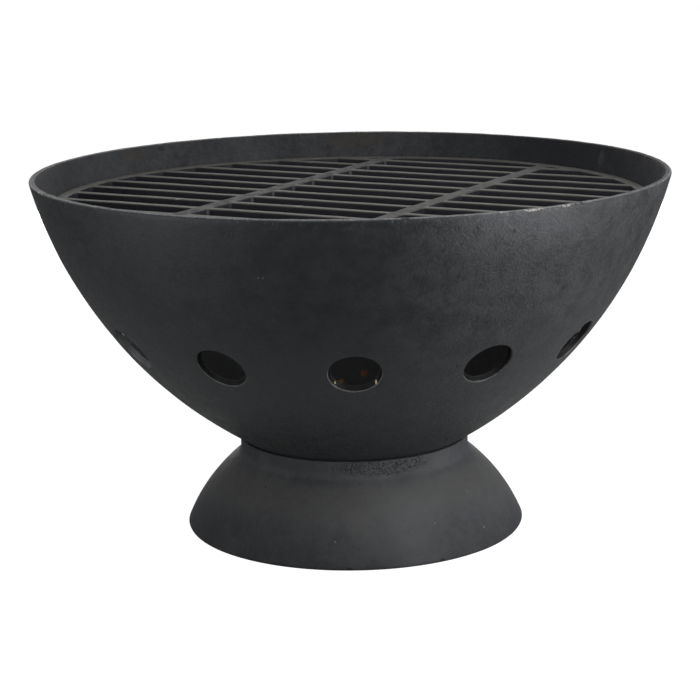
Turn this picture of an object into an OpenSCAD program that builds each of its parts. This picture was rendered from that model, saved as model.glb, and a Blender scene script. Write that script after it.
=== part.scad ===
// Cast-iron fire pit: a vented bowl bolted to a domed pedestal, with a lift-out grate below the rim.
// Millimetres, +Z up, with the origin at the middle of the pedestal's foot.

/* [Bowl] */
// Outside diameter of the rim, before its edges are rounded
rim_d = 600; // [560:5:640]
// Height of the rim above the bowl's flat seat
bowl_h = 255.5; // [237:0.5:271]
// Radius of the arc that the outside of the bowl follows from seat to rim
bowl_arc_r = 413; // [380:3:460]
// Diameter of the flat seat under the bowl
seat_d = 212; // [200:2:222]
// Thickness of the bowl's wall
bowl_wall = 6; // [5:0.5:7.5]
// Thickness of the bowl's floor
floor_t = 7; // [6:0.5:9]
// Rounding of the rim's two edges
rim_round = 2; // [1:0.25:2.25]
// Fillet between the floor and the wall, inside
floor_fillet = 12; // [6:1:20]
// Diameter of the drain hole in the middle of the floor
drain_d = 20; // [12:1:40]

/* [Vents] */
// Number of vents round the bowl
vent_count = 12; // [8:1:16]
// Diameter of each vent
vent_d = 47; // [36:0.5:56]
// Height of the vents' centres above the bowl's seat
vent_h = 111; // [90:0.5:130]

/* [Grate lugs] */
// Number of lugs that the grate rests on
lug_count = 4; // [3:1:6]
// Width of each lug
lug_w = 18; // [12:1:24]
// Height of each lug where it meets the wall
lug_h = 26; // [18:1:32]
// Height of each lug at its tip
lug_tip_h = 7; // [5:0.5:10]

/* [Pedestal] */
// Height of the pedestal
pedestal_h = 87.5; // [82:0.5:100]
// Largest diameter of the foot
foot_d = 325; // [310:1:340]
// Rounding of the foot's outer edge
foot_round = 4; // [3:0.5:8]
// Height up to which the inside of the foot runs straight
foot_h = 20; // [18:1:30]
// Radius of the dome's arc between foot and collar
dome_arc_r = 172; // [150:1:210]
// Thickness of the pedestal's wall
pedestal_wall = 6; // [5:0.5:8]
// Width of the ledge that the collar shows outside the bowl's seat
ledge_w = 4; // [3:0.5:8]
// Height of the straight collar, down to where the dome meets it
collar_h = 15.5; // [11:0.5:18]
// Fillet between collar and dome
collar_fillet = 9; // [4:0.5:12]
// Thickness of the flange that the bowl stands on
flange_t = 9; // [7:0.5:11]
// Diameter of the opening in the flange
flange_opening_d = 110; // [90:2:116]

/* [Grate] */
// Depth of the grate's top below the rim
grate_drop = 25; // [18:1:40]
// Clearance between the ring's lower edge and the bowl's wall
grate_gap = 1.5; // [1:0.1:4]
// Clearance between the ring and the lugs below it
lug_gap = 0.3; // [0.2:0.1:1]
// Clearance between the lugs' tips and the cross ribs' deeper part
rib_gap = 2; // [1:0.5:6]
// Turn of the grate in the bowl
grate_turn = -28.5; // [-90:0.5:90]
// Width of the ring at its top
ring_w = 11; // [9:0.5:14]
// Depth of the ring and the bars
grate_depth = 12; // [9:0.5:14]
// Width of a bar at its top
bar_w = 9; // [6:0.5:12]
// Distance from bar to bar
bar_pitch = 39.5; // [30:0.5:46]
// Width of a cross rib at its top
cross_w = 15; // [12:0.5:18]
// Depth of a cross rib
cross_depth = 18; // [14:0.5:22]
// Distance between the two cross ribs
cross_spacing = 180; // [150:2:210]
// Narrowing of each side of a cast rib, for each millimetre of depth
draft = 0.08; // [0.02:0.01:0.12]

/* [Fasteners] */
// Number of bolts that hold the bowl on the pedestal
bolt_count = 3; // [3:1:6]
// Diameter of the circle that the bolts stand on
bolt_circle_d = 150; // [146:1:156]
// Thread diameter of a bolt
bolt_d = 8; // [6:1:8]
// Length of a bolt under its head
bolt_len = 30; // [28:1:36]
// Width across flats of a bolt's head and of a nut
hex_w = 13; // [12:0.5:14]
// Height of a bolt's head
head_h = 5.3; // [4:0.1:6]
// Thickness of a nut
nut_t = 6.5; // [5:0.1:7]
// Outside diameter of a washer
washer_d = 17; // [15:0.5:18]
// Thickness of a washer
washer_t = 1.6; // [1:0.1:2]
// Clearance all round a bolt in the castings
bolt_clearance = 0.5; // [0.3:0.1:0.8]
// Clearance all round a bolt in its nut and washers
thread_clearance = 0.1; // [0.05:0.05:0.2]

/* [Hidden] */

big_steps = 24;    // steps in a long arc
small_steps = 6;   // steps in a fillet or a rounded edge
overshoot = 1;     // how far a cutter runs past the face that it opens
$fn = 64;

seat_r = seat_d / 2;
seat_z = pedestal_h;
floor_z = seat_z + floor_t;
rim_z = seat_z + bowl_h;
collar_r = seat_r + ledge_w;
grate_z = rim_z - grate_drop;
ring_z = grate_z - grate_depth;
lug_z = ring_z - lug_gap;
flange_z = pedestal_h - flange_t;

// Where two circles round a and b meet, on the left of the way from a to b.
function circles_meet(a, ra, b, rb) =
    let (
        way = b - a,
        gap = norm(way),
        along = (gap * gap + ra * ra - rb * rb) / (2 * gap),
        aside = sqrt(ra * ra - along * along),
        unit = way / gap
    )
    a + along * unit + aside * [-unit.y, unit.x];

// Heading of point p seen from c, in degrees.
function heading(c, p) = atan2(p.y - c.y, p.x - c.x);

// Points on an arc round c, from one heading to another.
function arc(c, r, from, to, steps) =
    [for (i = [0 : steps]) let (a = from + (to - from) * i / steps) c + r * [cos(a), sin(a)]];

// Where a circle round c reaches height z, on its outer side.
function at_height(c, r, z) = [c.x + sqrt(r * r - (z - c.y) * (z - c.y)), z];

// Where a circle round c reaches radius x, on its upper side.
function at_radius(c, r, x) = [x, c.y + sqrt(r * r - (x - c.x) * (x - c.x))];

// Centre of the bowl's arcs, in the plane of radius and height.
bowl_c = circles_meet([seat_r, seat_z], bowl_arc_r, [rim_d / 2, rim_z], bowl_arc_r);

// Radius of the bowl at height z, a given depth inside its outer face.
function bowl_r(z, inset = 0) = at_height(bowl_c, bowl_arc_r - inset, z).x;

// Centre of the rounding under the foot's outer edge, and of the dome that runs off it.
foot_c = [foot_d / 2 - foot_round, foot_round];
dome_c = circles_meet(foot_c, dome_arc_r - foot_round, [collar_r, pedestal_h - collar_h], dome_arc_r);

ring_bottom_r = bowl_r(ring_z, bowl_wall) - grate_gap;
ring_top_r = ring_bottom_r + draft * grate_depth;
ring_inner_r = ring_top_r - ring_w;

module bowl_profile() {
    outer_c = at_height(bowl_c, bowl_arc_r - rim_round, rim_z - rim_round);
    inner_c = at_height(bowl_c, bowl_arc_r - bowl_wall + rim_round, rim_z - rim_round);
    fillet_c = at_height(bowl_c, bowl_arc_r - bowl_wall - floor_fillet, floor_z + floor_fillet);
    outer_end = heading(bowl_c, outer_c);
    inner_end = heading(bowl_c, inner_c);
    fillet_end = heading(bowl_c, fillet_c);
    polygon(concat(
        [[0, seat_z]],
        arc(bowl_c, bowl_arc_r, heading(bowl_c, [seat_r, seat_z]), outer_end, big_steps),
        arc(outer_c, rim_round, outer_end, 90, small_steps),
        arc(inner_c, rim_round, 90, 180 + inner_end, small_steps),
        arc(bowl_c, bowl_arc_r - bowl_wall, inner_end, fillet_end, big_steps),
        arc(fillet_c, floor_fillet, fillet_end, -90, small_steps),
        [[0, floor_z]]
    ));
}

// One lug, along +X: flat on top, sloping back to the wall, with its root inside the wall.
module lug() {
    root = bowl_wall / 2;
    rotate([90, 0, 0])
        linear_extrude(height = lug_w, center = true)
            polygon([
                [ring_inner_r, lug_z],
                [bowl_r(lug_z, root), lug_z],
                [bowl_r(lug_z - lug_h, root), lug_z - lug_h],
                [ring_inner_r, lug_z - lug_tip_h]
            ]);
}

// A cutter for one vent, along +X and square to the wall.
module vent_cutter() {
    centre = [bowl_r(vent_h + seat_z), vent_h + seat_z];
    translate([centre.x, 0, centre.y])
        rotate([0, 90 - heading(bowl_c, centre), 0])
            cylinder(h = 6 * bowl_wall, d = vent_d, center = true);
}

// Its children, once for each bolt.
module at_bolts() {
    for (i = [0 : bolt_count - 1])
        rotate([0, 0, 90 + i * 360 / bolt_count])
            translate([bolt_circle_d / 2, 0, 0])
                children();
}

// A hole for each bolt, from z0 up to z1.
module bolt_holes(z0, z1) {
    at_bolts()
        translate([0, 0, z0 - overshoot])
            cylinder(h = z1 - z0 + 2 * overshoot, r = bolt_d / 2 + bolt_clearance);
}

module bowl() {
    color("#3a3b3e")
        difference() {
            union() {
                rotate_extrude() bowl_profile();
                for (i = [0 : lug_count - 1])
                    rotate([0, 0, (i + 0.5) * 360 / lug_count])
                        lug();
            }
            for (i = [0 : vent_count - 1])
                rotate([0, 0, i * 360 / vent_count])
                    vent_cutter();
            bolt_holes(seat_z, floor_z);
            translate([0, 0, seat_z - overshoot])
                cylinder(h = floor_t + 2 * overshoot, d = drain_d);
        }
}

module pedestal_profile() {
    inner_arc_r = dome_arc_r - pedestal_wall;
    flange_end = at_height(dome_c, inner_arc_r, flange_z);
    foot_end = at_height(dome_c, inner_arc_r, foot_h);
    fillet_c = at_radius(dome_c, dome_arc_r + collar_fillet, collar_r + collar_fillet);
    polygon(concat(
        [[flange_opening_d / 2, pedestal_h], [flange_opening_d / 2, flange_z]],
        arc(dome_c, inner_arc_r, heading(dome_c, flange_end), heading(dome_c, foot_end), big_steps),
        [[foot_end.x, 0]],
        arc(foot_c, foot_round, -90, heading(dome_c, foot_c), small_steps),
        arc(dome_c, dome_arc_r, heading(dome_c, foot_c), heading(dome_c, fillet_c), big_steps),
        arc(fillet_c, collar_fillet, 180 + heading(dome_c, fillet_c), 180, small_steps),
        [[collar_r, pedestal_h]]
    ));
}

module pedestal() {
    color("#37383b")
        difference() {
            rotate_extrude() pedestal_profile();
            bolt_holes(flange_z, pedestal_h);
        }
}

// A cast rib along X, w wide at its top and narrowing down to its depth.
module rib(length, w, depth) {
    low_w = w - 2 * draft * depth;
    rotate([90, 0, 90])
        linear_extrude(height = length, center = true)
            polygon([[-w / 2, 0], [-low_w / 2, -depth], [low_w / 2, -depth], [w / 2, 0]]);
}

module bars() {
    reach = floor((ring_inner_r - bar_w) / bar_pitch);
    for (i = [-reach : reach])
        translate([0, i * bar_pitch, 0])
            rib(2 * ring_top_r, bar_w, grate_depth);
}

module cross_ribs() {
    for (side = [-1, 1])
        translate([side * cross_spacing / 2, 0, 0])
            rotate([0, 0, 90])
                rib(2 * ring_top_r, cross_w, cross_depth);
}

module ring() {
    low_inner_r = ring_inner_r + draft * grate_depth;
    rotate_extrude()
        polygon([
            [ring_inner_r, 0], [low_inner_r, -grate_depth],
            [ring_bottom_r, -grate_depth], [ring_top_r, 0]
        ]);
}

// The ribs end in the middle of the ring, and the cross ribs' deeper part stops short of the lugs.
module cooking_grate() {
    color("#4a4944")
        translate([0, 0, grate_z])
            rotate([0, 0, grate_turn]) {
                ring();
                intersection() {
                    union() {
                        bars();
                        cross_ribs();
                    }
                    translate([0, 0, -grate_depth])
                        cylinder(h = grate_depth, r = ring_top_r - ring_w / 2);
                }
                intersection() {
                    cross_ribs();
                    translate([0, 0, -cross_depth])
                        cylinder(h = cross_depth, r = ring_inner_r - rib_gap);
                }
            }
}

module hexagon(h) {
    cylinder(h = h, r = hex_w / 2 / cos(30), $fn = 6);
}

module bolts() {
    color("#8d8f92")
        at_bolts()
            translate([0, 0, floor_z + washer_t]) {
                hexagon(head_h);
                translate([0, 0, -bolt_len])
                    cylinder(h = bolt_len, d = bolt_d);
            }
}

// One washer at each bolt, standing on height z.
module washers_at(z) {
    at_bolts()
        translate([0, 0, z])
            difference() {
                cylinder(h = washer_t, d = washer_d);
                translate([0, 0, -overshoot])
                    cylinder(h = washer_t + 2 * overshoot, r = bolt_d / 2 + thread_clearance);
            }
}

module bowl_washers() {
    color("#9a9c9f") washers_at(floor_z);
}

module flange_washers() {
    color("#9a9c9f") washers_at(flange_z - washer_t);
}

module nuts() {
    color("#85878a")
        at_bolts()
            translate([0, 0, flange_z - washer_t - nut_t])
                difference() {
                    hexagon(nut_t);
                    translate([0, 0, -overshoot])
                        cylinder(h = nut_t + 2 * overshoot, r = bolt_d / 2 + thread_clearance);
                }
}

bowl();
pedestal();
cooking_grate();
bolts();
bowl_washers();
flange_washers();
nuts();
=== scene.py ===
"""Fire pit with a lift-out cooking grate: its castings and fasteners, and the stage that they stand on."""

from math import atan2, ceil, cos, hypot, inf, pi, radians, sin, sqrt

import bmesh
import bpy
from bpy.props import FloatProperty, FloatVectorProperty, IntProperty, PointerProperty
from mathutils import Matrix, Vector, noise


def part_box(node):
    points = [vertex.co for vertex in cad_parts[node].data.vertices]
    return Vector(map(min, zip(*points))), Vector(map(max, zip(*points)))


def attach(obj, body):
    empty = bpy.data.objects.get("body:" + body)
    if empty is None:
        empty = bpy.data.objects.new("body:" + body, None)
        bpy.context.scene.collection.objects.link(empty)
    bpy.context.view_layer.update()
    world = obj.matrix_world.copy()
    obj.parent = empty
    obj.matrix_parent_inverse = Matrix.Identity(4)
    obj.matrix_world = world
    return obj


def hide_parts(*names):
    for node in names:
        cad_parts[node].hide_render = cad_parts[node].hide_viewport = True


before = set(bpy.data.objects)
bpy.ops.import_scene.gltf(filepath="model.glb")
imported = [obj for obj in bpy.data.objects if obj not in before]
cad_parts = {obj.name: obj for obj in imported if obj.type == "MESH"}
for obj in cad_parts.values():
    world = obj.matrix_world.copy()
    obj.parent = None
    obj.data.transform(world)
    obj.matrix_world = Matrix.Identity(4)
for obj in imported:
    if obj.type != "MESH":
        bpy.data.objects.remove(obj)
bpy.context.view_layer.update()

bl_info = {
    "name": "Fire Pit",
    "version": (1, 0, 0),
    "blender": (4, 5, 0),
    "location": "3D View > Sidebar > Fire Pit",
    "description": "Makes the castings and fasteners of a cast-iron fire pit, and a stage for it",
    "category": "Add Mesh",
}

SEAT_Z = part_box("bowl")[0].z
RIM_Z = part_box("bowl")[1].z
GRATE_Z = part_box("cooking_grate")[1].z
BOLT_END_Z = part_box("bolts")[0].z
NUT_LOW_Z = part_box("nuts")[0].z

COLUMNS = 384  # steps round a casting
COLUMN_STEP = 2 * pi / COLUMNS
FASTENER_COLUMNS = 60  # steps round a nut or a washer
WINDOW = 8.01  # half width of the window that a hole is cut in: 8 steps, and a little to spare
HOLE_BAND = 0.01  # half width of a bolt hole's window along the radius
OVERLAP = 0.0005  # how far a bolt's shank runs into its head, and its thread into its shank
MERGE = 1e-6  # points nearer than this become one


# ---------------------------------------------------------------------------------------------------------
# Sizes and colours
# ---------------------------------------------------------------------------------------------------------

def length(name, millimetres, description):
    """A size property, given in millimetres and kept in metres."""
    return FloatProperty(name=name, description=description, default=millimetres / 1000, min=0,
                         unit="LENGTH", precision=4)


def angle(name, degrees, description):
    """An angle property, given in degrees."""
    return FloatProperty(name=name, description=description, default=radians(degrees), unit="ROTATION")


def colour(name, value, description):
    """A colour property, in linear light."""
    return FloatVectorProperty(name=name, description=description, default=value, size=3, min=0, max=1,
                               subtype="COLOR")


def power(name, watts, description):
    """A lamp's power property."""
    return FloatProperty(name=name, description=description, default=watts, min=0, unit="POWER")


class FirePitBowl(bpy.types.PropertyGroup):
    """Sizes of the bowl casting"""

    rim_d: length("Rim", 600, "Outside diameter of the rim, before its edges are rounded")
    seat_d: length("Seat", 212, "Diameter of the flat seat under the bowl")
    arc_r: length("Wall arc", 413, "Radius of the arc that the outside of the bowl follows")
    wall: length("Wall", 6, "Thickness of the wall")
    floor_t: length("Floor", 7, "Thickness of the floor")
    rim_round: length("Rim rounding", 2, "Rounding of the rim's two edges")
    floor_fillet: length("Floor fillet", 12, "Fillet between the floor and the wall, inside")
    drain_d: length("Drain hole", 20, "Diameter of the drain hole")
    vent_count: IntProperty(name="Vents", description="Number of vents round the bowl", default=12, min=3)
    vent_d: length("Vent", 47, "Diameter of each vent")
    vent_h: length("Vent height", 111, "Height of the vents' centres above the seat")
    vent_round: length("Vent rounding", 0.6, "Rounding of the vents' edges")
    vent_taper: length("Vent taper", 3.1, "How much narrower in radius a vent is at the inside")
    lug_count: IntProperty(name="Lugs", description="Number of lugs under the grate", default=4, min=3)
    lug_w: length("Lug", 18, "Width of each lug")
    lug_h: length("Lug root", 26, "Height of each lug where it meets the wall")
    lug_tip_h: length("Lug tip", 7, "Height of each lug at its tip")
    lug_flare: length("Lug flare", 4, "How far a lug widens where it meets the wall")


class FirePitPedestal(bpy.types.PropertyGroup):
    """Sizes of the pedestal casting"""

    foot_d: length("Foot", 325, "Largest diameter of the foot")
    foot_round: length("Foot rounding", 4, "Rounding of the foot's outer edge")
    foot_h: length("Foot height", 20, "Height up to which the inside of the foot runs straight")
    arc_r: length("Dome arc", 172, "Radius of the dome's arc")
    wall: length("Wall", 6, "Thickness of the wall")
    ledge_w: length("Ledge", 4, "Width of the ledge that the collar shows outside the seat")
    collar_h: length("Collar", 15.5, "Height of the collar, down to where the dome meets it")
    collar_fillet: length("Collar fillet", 9, "Fillet between collar and dome")
    collar_round: length("Collar rounding", 1.2, "Rounding of the collar's top edge")
    flange_t: length("Flange", 9, "Thickness of the flange under the bowl")
    opening_d: length("Opening", 110, "Diameter of the opening in the flange")


class FirePitGrate(bpy.types.PropertyGroup):
    """Sizes of the grate casting"""

    turn: angle("Turn", -28.5, "How far the grate is turned in the bowl")
    gap: length("Gap", 1.5, "Clearance between the ring's lower edge and the wall")
    lug_gap: length("Lug gap", 0.3, "Clearance between the ring and the lugs")
    ring_w: length("Ring", 11, "Width of the ring at its top")
    depth: length("Depth", 12, "Depth of the ring and the bars")
    bar_w: length("Bar", 9, "Width of a bar at its top")
    bar_pitch: length("Bar spacing", 39.5, "Distance from bar to bar")
    rib_w: length("Cross rib", 15, "Width of a cross rib at its top")
    rib_depth: length("Rib depth", 18, "Depth of a cross rib")
    rib_spacing: length("Rib spacing", 180, "Distance between the two cross ribs")
    rib_end: length("Rib end", 2, "Distance from a cross rib's deeper part to the lugs' tips")
    edge: length("Edge", 1, "Rounding of the upper edges")
    corner: length("Corner", 3, "Fillet where the bars meet the ribs and the ring")
    draft: FloatProperty(name="Draft", description="Narrowing of each side for its depth", default=0.08)


class FirePitFasteners(bpy.types.PropertyGroup):
    """Sizes of the bolts, nuts and washers"""

    count: IntProperty(name="Bolts", description="Number of bolts", default=3, min=3)
    circle_d: length("Bolt circle", 150, "Diameter of the circle that the bolts stand on")
    bolt_d: length("Thread", 8, "Thread diameter")
    pitch: length("Pitch", 1.25, "Thread pitch")
    hex_w: length("Hexagon", 13, "Width across flats of heads and nuts")
    head_h: length("Head", 5.3, "Height of a bolt's head")
    nut_t: length("Nut", 6.5, "Thickness of a nut")
    washer_d: length("Washer", 17, "Outside diameter of a washer")
    washer_t: length("Washer thickness", 1.6, "Thickness of a washer")
    hole_gap: length("Hole gap", 0.5, "Clearance round a bolt in the castings")
    bore_gap: length("Bore gap", 0.1, "Clearance round a bolt in its nut and washers")


class FirePitFinish(bpy.types.PropertyGroup):
    """Colours of the finishes"""

    coat_dark: colour("Coat, dark", (0.0033, 0.0038, 0.0042), "Black coat in its darker patches")
    coat_light: colour("Coat, light", (0.0135, 0.0146, 0.0158), "Black coat in its paler patches")
    sheen: colour("Sheen", (0.9000, 0.9400, 0.9800), "Tint of the black coat's sheen")
    # Painted light: the paler coat towards the seat stands for light bounced up from the floor onto the
    # downward-facing wall.
    coat_low_painted_bounce: colour("Coat, low", (0.0232, 0.0250, 0.0254), "Duller coat towards the bowl's seat")
    # Painted light: the frosted coat is laid on the pit's right only, paler there as the right-hand lamps'
    # light.
    frost_and_painted_light: colour("Frosted coat", (0.0280, 0.0286, 0.0310), "Scuffed coat on the pit's right")
    # Painted highlight: the palest coat, just under the rim on the right, stands for the lamps' sheen there.
    painted_rim_highlight: colour("Frosted rim", (0.0620, 0.0630, 0.0675), "Palest coat, by the rim")
    inside_dark: colour("Inside, dark", (0.0262, 0.0274, 0.0305), "Inside of the bowl in its darker patches")
    inside_light: colour("Inside, light", (0.0945, 0.0975, 0.1040), "Inside of the bowl in its paler patches")
    foot_dark: colour("Pedestal, dark", (0.0457, 0.0474, 0.0520), "Pedestal in its darker patches")
    foot_light: colour("Pedestal, light", (0.0786, 0.0810, 0.0869), "Pedestal in its paler patches")
    # Painted shade: the sides of the grate's bars are painted dark.
    grate_painted_shade: colour("Grate, sides", (0.0280, 0.0294, 0.0364), "Sides of the grate's bars")
    # The grate's upper faces: dust, paler partly as painted light from above.
    grate_mid: colour("Grate, dark", (0.1007, 0.0982, 0.0900), "Grate's upper faces in their darker patches")
    grate_light: colour("Grate, light", (0.1610, 0.1560, 0.1387), "Grate's upper faces in paler patches")
    worn: colour("Worn edge", (0.46, 0.465, 0.475), "Bare iron where an edge has lost its coat")
    rust: colour("Rust", (0.115, 0.052, 0.022), "Rust in pits and patches")
    zinc: colour("Zinc", (0.34, 0.34, 0.33), "Dulled zinc of the fasteners")


class FirePitStage(bpy.types.PropertyGroup):
    """Camera and light"""

    distance: length("Distance", 1873.5, "Distance of the camera from the pit's axis")
    height: length("Height", 598.0, "Height of the camera above the floor")
    azimuth: angle("Azimuth", -0.378, "Heading of the camera round the pit")
    pitch: angle("Pitch", 12.933, "How far the camera looks down")
    yaw: angle("Yaw", -0.084, "How far the camera looks aside")
    roll: angle("Roll", -0.974, "How far the camera leans")
    lens: FloatProperty(name="Lens", description="Focal length, in millimetres", default=102.86, min=10)
    right_high: power("Right high lamp", 11.5, "Power of the lamp high on the right")
    right_front: power("Right-front lamp", 3.2, "Power of the small lamp on the right, towards the camera")
    right_low: power("Right low lamp", 6.3, "Power of the small lamp near the floor on the right")
    left_low: power("Left low lamp", 3.4, "Power of the small lamp near the floor on the left")
    front: power("Front lamp", 14.6, "Power of the lamp over the camera")
    back_low: power("Back lamp", 22, "Power of the low lamp behind the pit")
    ambient: FloatProperty(name="Ambient", description="Light from all round", default=0.0, min=0)


SETTINGS = {
    "fire_pit_bowl": FirePitBowl,
    "fire_pit_pedestal": FirePitPedestal,
    "fire_pit_grate": FirePitGrate,
    "fire_pit_fasteners": FirePitFasteners,
    "fire_pit_finish": FirePitFinish,
    "fire_pit_stage": FirePitStage,
}


# ---------------------------------------------------------------------------------------------------------
# Arcs in the plane of radius and height
# ---------------------------------------------------------------------------------------------------------

def circles_meet(a, ra, b, rb):
    """Where two circles round a and b meet, on the left of the way from a to b."""
    way = b - a
    along = (way.length_squared + ra * ra - rb * rb) / (2 * way.length)
    unit = way.normalized()
    return a + along * unit + sqrt(ra * ra - along * along) * Vector((-unit.y, unit.x))


def heading(centre, point):
    """Heading of a point seen from a centre."""
    return atan2(point[1] - centre[1], point[0] - centre[0])


def towards(turn):
    """A step of length 1 in a heading."""
    return Vector((cos(turn), sin(turn)))


def at_height(centre, radius, z):
    """Where a circle reaches a height, on its outer side."""
    return Vector((centre.x + sqrt(radius ** 2 - (z - centre.y) ** 2), z))


def bowl_centre(bowl):
    """Centre of the bowl's arcs."""
    seat = Vector((bowl.seat_d / 2, SEAT_Z))
    return circles_meet(seat, bowl.arc_r, Vector((bowl.rim_d / 2, RIM_Z)), bowl.arc_r)


def depth_in_wall(bowl, centre, co):
    """How deep a point lies in the bowl's wall, below its outer skin."""
    return bowl.arc_r - hypot(hypot(co.x, co.y) - centre.x, co.z - centre.y)


def ring_radii(bowl, grate):
    """Outer and inner radius of the grate's ring at its top."""
    low = at_height(bowl_centre(bowl), bowl.arc_r - bowl.wall, GRATE_Z - grate.depth).x - grate.gap
    outer = low + grate.draft * grate.depth
    return outer, outer - grate.ring_w


def bolt_band(fasteners):
    """Inner and outer radius of the band of a plate that the bolts' holes are cut in."""
    return [fasteners.circle_d / 2 + side * HOLE_BAND for side in (-1, 1)]


class Pen:
    """Draws a profile in the XZ plane, from point to point."""

    def __init__(self, bm, r, z):
        self.bm = bm
        self.tip = bm.verts.new((r, 0, z))

    def line(self, r, z, steps=1):
        """Draws a straight line in equal steps."""
        start, end = self.tip.co.copy(), Vector((r, 0, z))
        for step in range(1, steps + 1):
            self.tip = bmesh.ops.extrude_vert_indiv(self.bm, verts=[self.tip])["verts"][0]
            self.tip.co = start.lerp(end, step / steps)

    def lines(self, *ends):
        """Draws straight lines, each given by its end and its number of steps."""
        for end in ends:
            self.line(*end)

    def arc(self, centre, end, steps):
        """Draws an arc round a centre, up to a heading."""
        turn = end - heading(centre, self.tip.co.xz)
        made = bmesh.ops.spin(self.bm, geom=[self.tip], cent=(centre[0], 0, centre[1]), axis=(0, -1, 0),
                              angle=turn, steps=steps)
        self.tip = vertices(made["geom_last"])[0]


# ---------------------------------------------------------------------------------------------------------
# Shaping
# ---------------------------------------------------------------------------------------------------------

def clamp(number):
    """A number, held between 0 and 1."""
    return min(1.0, max(0.0, number))


def vertices(geom):
    """The vertices among some geometry."""
    return [g for g in geom if isinstance(g, bmesh.types.BMVert)]


def edges_of(geom):
    """The edges among some geometry."""
    return [g for g in geom if isinstance(g, bmesh.types.BMEdge)]


def everything(bm):
    """All the geometry of a bmesh."""
    return bm.verts[:] + bm.edges[:] + bm.faces[:]


def cut(bm, point, normal, geom=None, near=MERGE, **sides):
    """Cuts a bmesh, or some of its geometry, along a plane, and returns the edges of the cut."""
    made = bmesh.ops.bisect_plane(bm, geom=geom or everything(bm), dist=near, plane_co=point, plane_no=normal,
                                  **sides)
    return edges_of(made["geom_cut"])


def to_mesh(bm, name):
    """Makes a mesh of a bmesh, and frees the bmesh."""
    mesh = bpy.data.meshes.new(name)
    bm.to_mesh(mesh)
    bm.free()
    return mesh


def join(bm, other):
    """Adds another bmesh to one, and frees it."""
    mesh = to_mesh(other, "part")
    bm.from_mesh(mesh)
    bpy.data.meshes.remove(mesh)


def turn_sector(bm, count, steps):
    """Spins the profile in a bmesh through one of count equal sectors, with +X in its middle."""
    bmesh.ops.remove_doubles(bm, verts=bm.verts, dist=MERGE)
    bmesh.ops.spin(bm, geom=bm.verts[:] + bm.edges[:], cent=(0, 0, 0), axis=(0, 0, 1), angle=2 * pi / count,
                   steps=steps)
    bm.transform(Matrix.Rotation(-pi / count, 4, "Z"))


def repeat_sector(bm, count):
    """Copies a sector all the way round and joins the copies into a body with its faces outwards."""
    bmesh.ops.spin(bm, geom=everything(bm), cent=(0, 0, 0), axis=(0, 0, 1),
                   angle=2 * pi * (count - 1) / count,
                   steps=count - 1, use_duplicate=True)
    bmesh.ops.remove_doubles(bm, verts=bm.verts, dist=2 * MERGE)
    bmesh.ops.recalc_face_normals(bm, faces=bm.faces)


def turn_profile(bm, steps, count=12):
    """Spins the profile in a bmesh into a closed body."""
    turn_sector(bm, count, steps // count)
    repeat_sector(bm, count)


def extrude_ring(bm, edges):
    """Extrudes a ring of edges and returns its new vertices and edges."""
    made = bmesh.ops.extrude_edge_only(bm, edges=edges)["geom"]
    verts = vertices(made)
    ends = set(verts)
    return verts, [e for e in edges_of(made) if ends.issuperset(e.verts)]


def circle_in(bm, segments, radius, place):
    """Makes a circle and returns its vertices and edges."""
    verts = bmesh.ops.create_circle(bm, segments=segments, radius=radius, matrix=place)["verts"]
    return verts, list({e for v in verts for e in v.link_edges})


def rounded_levels(radius, edge, depth, steps=4):
    """Radius and depth of each ring of a hole whose two edges are rounded."""
    turns = [pi / 2 * step / steps for step in range(steps + 1)]
    mouth = [(radius + edge * (1 - sin(a)), edge * (1 - cos(a))) for a in turns]
    return mouth + [(radius, depth / 2)] + [(r, depth - d) for r, d in reversed(mouth)]


def pierce(bm, outer, inner, place, levels, settle):
    """Joins the two sides of an opening in a wall by a round hole. place has the hole's axis as its Z, and
    settle moves a point along that axis to its depth in the wall."""
    back = place.inverted()
    hold = 0.002

    def lay(verts, radius, depth):
        for v in verts:
            flat = back @ v.co
            flat.z = 0
            v.co = settle(place @ (flat.normalized() * radius), depth)

    def bridge(loop, verts, edges, radius, depth, aside):
        """Bridges a ring to a loop. It is held aside meanwhile, because loops in one plane can twist."""
        lay(verts, radius, depth + aside)
        bmesh.ops.bridge_loops(bm, edges=loop + edges)
        lay(verts, radius, depth)

    verts, edges = circle_in(bm, len(outer), levels[0][0], place)
    bridge(outer, verts, edges, *levels[0], hold)
    for level in levels[1:]:
        verts, edges = extrude_ring(bm, edges)
        lay(verts, *level)
    bridge(inner, verts, edges, *levels[-1], -hold)


def open_windows(bm, inside):
    """Deletes the faces for whose centres inside() is true, and returns the edges that it opens."""
    faces = [f for f in bm.faces if inside(f.calc_center_median())]
    gone = set(faces)
    rims = {e for f in faces for e in f.edges if len(gone.intersection(e.link_faces)) == 1}
    bmesh.ops.delete(bm, geom=faces, context="FACES")
    return list(rims)


def middle_of(edge):
    """The middle of an edge."""
    return (edge.verts[0].co + edge.verts[1].co) / 2


def bolt_places(fasteners):
    """Matrices that move a fastener from the axis to each of its places."""
    return [
        Matrix.Rotation(pi / 2 + i * 2 * pi / fasteners.count, 4, "Z")
        @ Matrix.Translation((fasteners.circle_d / 2, 0, 0))
        for i in range(fasteners.count)
    ]


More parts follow.
